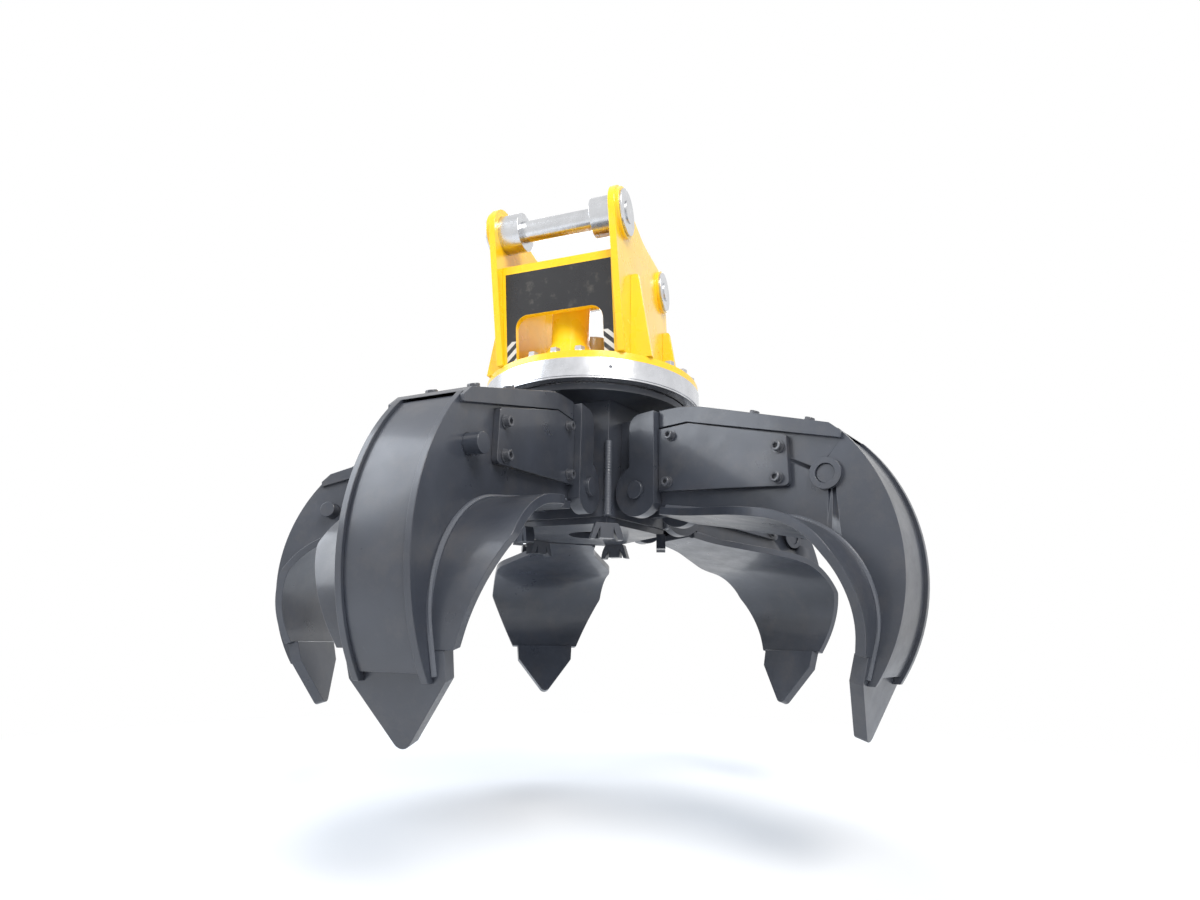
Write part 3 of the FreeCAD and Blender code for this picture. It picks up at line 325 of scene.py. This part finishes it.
YELLOW = yellow_paint()
for plate in ("head_side_plates", "head_rear_plate", "head_gussets", "head_base_flange"):
    finished_plate(plate, 0.0016).data.materials.append(YELLOW)


# ---------------------------------------------------------------- head: front cross plate
# The cross plate leans forwards between the side plates. Its face is a bare black panel with a yellow
# margin on top, and the two legs beside the arch carry black and white hazard bands at the foot.


def panelled_paint(low, high):
    """Yellow plate whose front face is black below a margin, with slanting bands near its foot."""
    finish = Finish("panelled_paint")
    across, along, up = finish.axes()
    drift = finish.spread(finish.noise(3.0), 0.35, 0.65)
    paint = finish.mix(drift, (0.90, 0.52, 0.006), (0.96, 0.60, 0.012))
    below_margin = finish.maths("LESS_THAN", up, high.z - 0.027)
    beside = finish.maths("LESS_THAN", finish.maths("ABSOLUTE", across, 0), high.x - 0.012)
    facing = finish.nodes.new("ShaderNodeSeparateXYZ")
    finish.links.new(finish.nodes["Texture Coordinate"].outputs["Normal"], facing.inputs[0])
    in_front = finish.maths("LESS_THAN", facing.outputs[1], -0.8)
    panel = finish.maths("MULTIPLY", finish.maths("MULTIPLY", below_margin, beside), in_front)
    face = finish.mix(panel, paint, (0.012, 0.012, 0.014))
    slant = finish.maths("ADD", finish.maths("MULTIPLY", finish.maths("ABSOLUTE", across, 0), 0.9), up)
    band = finish.maths("LESS_THAN", finish.maths("FRACT", finish.maths("DIVIDE", slant, 0.034), 0), 0.5)
    bands = finish.mix(band, (0.62, 0.60, 0.56), (0.02, 0.02, 0.022))
    foot = finish.maths("MULTIPLY", finish.maths("LESS_THAN", up, low.z + 0.078), panel)
    dust = finish.spread(finish.noise(16.0, 6.0, 0.7), 0.55, 0.8, 0.0, 0.3)
    finish.set(Base_Color=finish.mix(dust, finish.mix(foot, face, bands), (0.30, 0.27, 0.22)),
               Roughness=finish.spread(finish.noise(8.0, 5.0), 0.3, 0.7, 0.22, 0.38), Coat_Weight=0.3,
               Coat_Roughness=0.1)
    return finish.bump(finish.noise(420.0, 2.0), 0.0004, 0.25).material


finished_plate("head_front_plate", 0.0016).data.materials.append(panelled_paint(*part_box("head_front_plate")))

# ---------------------------------------------------------------- head: pins and bushes
# Turned steel pins and flanged bushes, bare and slightly greasy. Tool marks run round each of them.


def turned_steel(name, centre, axis, colour=(0.60, 0.61, 0.63), roughness=0.3):
    """Bare lathe-turned steel: rings of tool marks about an axis through a centre, with dull patches."""
    finish = Finish(name)
    split = list(finish.axes())
    offsets = [finish.maths("SUBTRACT", split[i], centre[i]) for i in range(3) if i != axis]
    squares = [finish.maths("MULTIPLY", offset, offset) for offset in offsets]
    radius = finish.maths("SQRT", finish.maths("ADD", *squares), 0)
    rings = finish.nodes.new("ShaderNodeTexNoise")
    rings.noise_dimensions = "2D"
    rings.inputs["Scale"].default_value = 520.0
    rings.inputs["Detail"].default_value = 2.0
    joined = finish.nodes.new("ShaderNodeCombineXYZ")
    finish.links.new(radius, joined.inputs[0])
    finish.links.new(split[axis], joined.inputs[1])
    finish.links.new(joined.outputs[0], rings.inputs["Vector"])
    patches = finish.spread(finish.noise(14.0, 6.0, 0.65), 0.42, 0.72)
    finish.set(Base_Color=finish.mix(patches, colour, tuple(0.84 * part for part in colour)), Metallic=1.0,
               Roughness=finish.spread(finish.noise(22.0, 4.0), 0.3, 0.7, roughness - 0.04, roughness + 0.06))
    return finish.bump(rings.outputs["Fac"], 0.0002, 0.35).material


PIN_STEEL = turned_steel("pin_steel", (0, 0, 0), 0, (0.66, 0.67, 0.69), 0.26)
for round_piece in ("pin_bushes", "stick_pin", "link_pin"):
    finished_plate(round_piece, 0.0018).data.materials.append(PIN_STEEL)

# ---------------------------------------------------------------- slew ring and its drive
# The fixed outer ring is machined steel. Inside it the toothed ring carries the rotor and is driven by
# the pinion of a hydraulic motor that stands on the base flange behind the arch.

slew_place = JOINTS["slew"]["pos_m"]
drive_place = JOINTS["pinion_spin"]["pos_m"]
RING_STEEL = turned_steel("ring_steel", slew_place, 2, (0.67, 0.68, 0.71), 0.24)
finished_plate("slew_outer_ring", 0.0022).data.materials.append(RING_STEEL)
finished_plate("slew_inner_ring", 0.0008).data.materials.append(RING_STEEL)
finished_plate("slew_pinion", 0.0008).data.materials.append(turned_steel("pinion_steel", drive_place, 2))
BOLT_HEAD_STEEL = turned_steel("bolt_steel", slew_place, 2, (0.58, 0.58, 0.6), 0.34)
finished_plate("flange_bolts", 0.0009).data.materials.append(BOLT_HEAD_STEEL)


def grey_paint(name, dark_paint_and_sky_sheen=(0.030, 0.034, 0.044), dusty=0.32):
    """Dark gloss paint with a slate-blue tint that is a painted sky reflection: drift in tone, brown dust in
    patches, scuffs and orange peel.
    """
    finish = Finish(name)
    drift = finish.spread(finish.noise(4.0), 0.3, 0.7)
    paint = finish.mix(drift, dark_paint_and_sky_sheen, tuple(1.5 * part for part in dark_paint_and_sky_sheen))
    dust = finish.spread(finish.noise(9.0, 8.0, 0.72), 0.50, 0.80, 0.0, dusty)
    scuffs = finish.spread(finish.noise(60.0, 8.0, 0.8, (1, 1, 0.25)), 0.62, 0.72, 0.0, 0.16)
    dusted = finish.mix(dust, paint, (0.12, 0.105, 0.09))
    finish.set(Base_Color=finish.mix(scuffs, dusted, (0.16, 0.165, 0.18)),
               Roughness=finish.spread(finish.noise(12.0, 6.0, 0.6), 0.3, 0.75, 0.26, 0.46), Coat_Weight=0.25,
               Coat_Roughness=0.12)
    return finish.bump(finish.noise(300.0, 2.0), 0.0004, 0.3).material


# The dark paint of the rotor and tines has a blue tint that is a painted sky reflection.
GREY = grey_paint("grey_paint")
finished_plate("slew_motor", 0.0015).data.materials.append(YELLOW)
for swivel_piece in ("swivel_housing", "swivel_spindle"):
    swivel_steel = turned_steel(swivel_piece, slew_place, 2, (0.5, 0.5, 0.52))
    finished_plate(swivel_piece, 0.0012).data.materials.append(swivel_steel)

# ---------------------------------------------------------------- rotor
# A plate under the toothed ring carries a five-sided column of welded plate. Pairs of lugs on its
# flats hold the tines and their cylinders; it ends in a foot plate with a forked bracket at each corner.

for rotor_piece in ("rotor_top_plate", "rotor_column", "rotor_lugs", "rotor_foot"):
    finished_plate(rotor_piece, 0.0015).data.materials.append(GREY)
finished_plate("cylinder_base_pins", 0.001).data.materials.append(GREY)


def tine_matrix(letter):
    """Turn and origin of a tine's own frame: at the hinge, x outwards, y along the pin, z up."""
    hinge = JOINTS[f"tine_{letter}_swing"]
    along = Vector(hinge["axis"])
    vertical = Vector((0, 0, 1))
    turn = Matrix((along.cross(vertical), along, vertical)).transposed()
    return turn, Vector(hinge["pos_m"])


def placed(points, letter):
    """Points of a tine's own frame carried into the row, as an array."""
    turn, origin = tine_matrix(letter)
    return points @ np.array(turn).T + np.array(origin)


def grid_mesh(name, grid):
    """Quads between neighbouring points of a rows by columns grid whose last column joins the first."""
    rows, columns = grid.shape[:2]
    index = np.arange(rows * columns).reshape(rows, columns)
    index = np.concatenate([index, index[:, :1]], axis=1)
    faces = np.stack([index[:-1, :-1], index[:-1, 1:], index[1:, 1:], index[1:, :-1]], axis=-1).reshape(-1, 4)
    mesh = bpy.data.meshes.new(name)
    mesh.from_pydata(grid.reshape(-1, 3).tolist(), [], faces.tolist())
    return mesh


def bead_grid(path, radius, pitch=0.0065, columns=8):
    """A weld bead along a path: a round section whose radius swells once for every pitch of length."""
    steps = np.diff(path, axis=0)
    lengths = np.concatenate([[0], np.cumsum(np.linalg.norm(steps, axis=1))])
    count = max(4, int(lengths[-1] / (pitch / 3)))
    run = np.linspace(0, lengths[-1], count)
    middle = np.stack([np.interp(run, lengths, path[:, i]) for i in range(3)], axis=1)
    forward = np.gradient(middle, axis=0)
    forward /= np.linalg.norm(forward, axis=1, keepdims=True)
    guide = np.array([0.31, 0.52, 0.79])
    side = np.cross(forward, guide)
    side /= np.linalg.norm(side, axis=1, keepdims=True)
    rise = np.cross(side, forward)
    swell = radius * (1 + 0.13 * np.abs(np.sin(np.pi * run / pitch)))
    swell[[0, -1]] *= 0.15
    angle = np.linspace(0, 2 * np.pi, columns, endpoint=False)
    ring = side[:, None] * np.cos(angle)[None, :, None] + rise[:, None] * np.sin(angle)[None, :, None]
    return middle[:, None] + swell[:, None, None] * ring


def joined_meshes(name, meshes, body, material, smooth=40.0):
    """One piece out of several meshes, shaded smooth up to an angle, riding on a body."""
    shape = bmesh.new()
    for mesh in meshes:
        shape.from_mesh(mesh)
        bpy.data.meshes.remove(mesh)
    bmesh.ops.recalc_face_normals(shape, faces=shape.faces)
    whole = bpy.data.meshes.new(name)
    shape.to_mesh(whole)
    shape.free()
    whole.polygons.foreach_set("use_smooth", np.ones(len(whole.polygons), bool))
    whole.set_sharp_from_angle(angle=math.radians(smooth))
    whole.materials.append(material)
    piece = bpy.data.objects.new(name, whole)
    bpy.context.scene.collection.objects.link(piece)
    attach(piece, body)
    return piece


# The weld paint's blue tint is a painted sky reflection.
WELD = grey_paint("weld_paint", (0.060, 0.066, 0.080), 0.2)
column_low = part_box("rotor_column")[0]
corner_reach = 0.2585
first_corner_angle = 86
corner_spacing = 72
column_weld_length = 0.242
corner_beads = []
for number in range(len(TINES)):
    angle = math.radians(first_corner_angle + corner_spacing * number)
    corner = np.array([slew_place[0] + corner_reach * math.cos(angle),
                       slew_place[1] + corner_reach * math.sin(angle), 0])
    path = corner + np.array([[0, 0, column_low.z], [0, 0, column_low.z + column_weld_length]])
    corner_beads.append(grid_mesh("bead", bead_grid(path, 0.011, 0.009, 10)))
joined_meshes("column_welds", corner_beads, "rotor", WELD)

# ---------------------------------------------------------------- tines
# Each tine is a closed box of plate on a curved blade with a pointed wear plate. Bolted covers give
# access to the cylinder inside. Blade and box are joined by long hand-laid welds.

BLADE_ROOT = (0.054, -0.052)
BLADE_BEND = (0.732, -0.178)
BLADE_RADIUS = 0.243
TIP_POINT = (0.582, -0.653)


def blade_line(run):
    """Points of the blade's convex face at lengths from its root: straight, a round bend, straight."""
    root, bend, tip = (np.array(point) for point in (BLADE_ROOT, BLADE_BEND, TIP_POINT))
    first = (bend - root) / np.linalg.norm(bend - root)
    second = (tip - bend) / np.linalg.norm(tip - bend)
    turn = math.acos(float(first @ second))
    setback = BLADE_RADIUS * math.tan(turn / 2)
    straight = np.linalg.norm(bend - root) - setback
    angle = np.clip((run - straight) / BLADE_RADIUS, 0, turn)
    centre = root + first * straight + BLADE_RADIUS * np.array([first[1], -first[0]])
    outward = np.stack([-first[1] * np.cos(angle) + first[0] * np.sin(angle),
                        first[0] * np.cos(angle) + first[1] * np.sin(angle)], axis=1)
    before = np.minimum(run - straight, 0)[:, None] * first
    after = np.maximum(run - straight - BLADE_RADIUS * turn, 0)[:, None] * second
    return centre + BLADE_RADIUS * outward + before + after


def head_grid(rings, columns=24):
    """A round bolt or nut head: rings of (radius, height, flatness), where flatness 1 is a hexagon."""
    angle = np.linspace(0, 2 * np.pi, columns, endpoint=False)
    hexagon = math.cos(math.pi / 6) / np.cos((angle + math.pi / 6) % (math.pi / 3) - math.pi / 6)
    radius, height, flatness = (np.array(column)[:, None] for column in zip(*rings))
    reach = radius * ((1 - flatness) + flatness * hexagon[None])
    heights = np.broadcast_to(height, reach.shape)
    return np.stack([reach * np.cos(angle), reach * np.sin(angle), heights], axis=-1)


SOCKET_HEAD = ((0.0001, 0, 0), (0.0170, 0, 0), (0.0175, 0.0012, 0), (0.0175, 0.003, 0), (0.0132, 0.0032, 0),
               (0.0132, 0.0168, 0), (0.0118, 0.0180, 0), (0.0080, 0.0180, 0), (0.0076, 0.0174, 1),
               (0.0076, 0.0085, 1), (0.0001, 0.0080, 0))
HEX_HEAD = ((0.0001, 0, 0), (0.0185, 0, 0), (0.0190, 0.0010, 0), (0.0190, 0.0030, 0), (0.0150, 0.0031, 1),
            (0.0155, 0.0120, 1), (0.0132, 0.0142, 0.2), (0.0001, 0.0142, 0))


def seated(grid, place, normal):
    """A head grid stood on a place with its axis along a normal."""
    turn = np.array(Vector(normal).to_track_quat("Z", "Y").to_matrix())
    return grid @ turn.T + np.array(place)


# The bolt paint's blue tint is a painted sky reflection.
BOLT_STEEL = grey_paint("painted_bolts", (0.050, 0.053, 0.062), 0.25)
CHROME = turned_steel("rod_chrome", (0, 0, 0), 2, (0.8, 0.8, 0.82), 0.14)
# Bolt places in the tine's own frame: outwards and upwards on a side cover, outwards on the top cover.
SIDE_BOLTS = ((0.114, 0.155), (0.102, 0.014), (0.454, 0.058), (0.446, -0.024))
SIDE_BOLT_REACH = 0.110
TOP_BOLTS = (0.363, 0.520)
TOP_BOLT_REACH = 0.060
TOP_COVER_SHOULDER = (0.177, 0.240)
TOP_COVER_FALL = 0.3403
cover_slope = Vector((0.343, 0, 1)).normalized()
BEAD_STEPS = 160
BEAD_REACH = 0.0945
BEAD_LIFT = 0.002
BEAD_RADIUS = 0.0065
for letter in TINES:
    body = f"tine_{letter}"
    for part in ("side_plates", "back_plate", "blade", "tip", "covers"):
        finished_plate(f"{body}_{part}", 0.0016).data.materials.append(GREY)
    finished_plate(f"{body}_pins", 0.002).data.materials.append(GREY)
    finished_plate(f"{body}_cylinder_barrel", 0.0012).data.materials.append(GREY)
    finished_plate(f"{body}_cylinder_rod", 0.001).data.materials.append(CHROME)

    heads = []
    for side in (-1, 1):
        for across, up in SIDE_BOLTS:
            heads.append(seated(head_grid(SOCKET_HEAD), (across, side * SIDE_BOLT_REACH, up), (0, side, 0)))
        for across in TOP_BOLTS:
            up = TOP_COVER_SHOULDER[1] - (across - TOP_COVER_SHOULDER[0]) * TOP_COVER_FALL
            heads.append(seated(head_grid(HEX_HEAD), (across, side * TOP_BOLT_REACH, up), cover_slope))
    meshes = [grid_mesh("head", placed(grid, letter)) for grid in heads]
    joined_meshes(f"{body}_cover_bolts", meshes, body, BOLT_STEEL)

    beads = []
    for side in (-1, 1):
        line = blade_line(np.linspace(0.03, 0.905, BEAD_STEPS))
        path = np.stack([line[:, 0], np.full(BEAD_STEPS, side * BEAD_REACH), line[:, 1] + BEAD_LIFT], axis=1)
        beads.append(bead_grid(path, BEAD_RADIUS))
    meshes = [grid_mesh("bead", placed(grid, letter)) for grid in beads]
    joined_meshes(f"{body}_blade_welds", meshes, body, WELD)
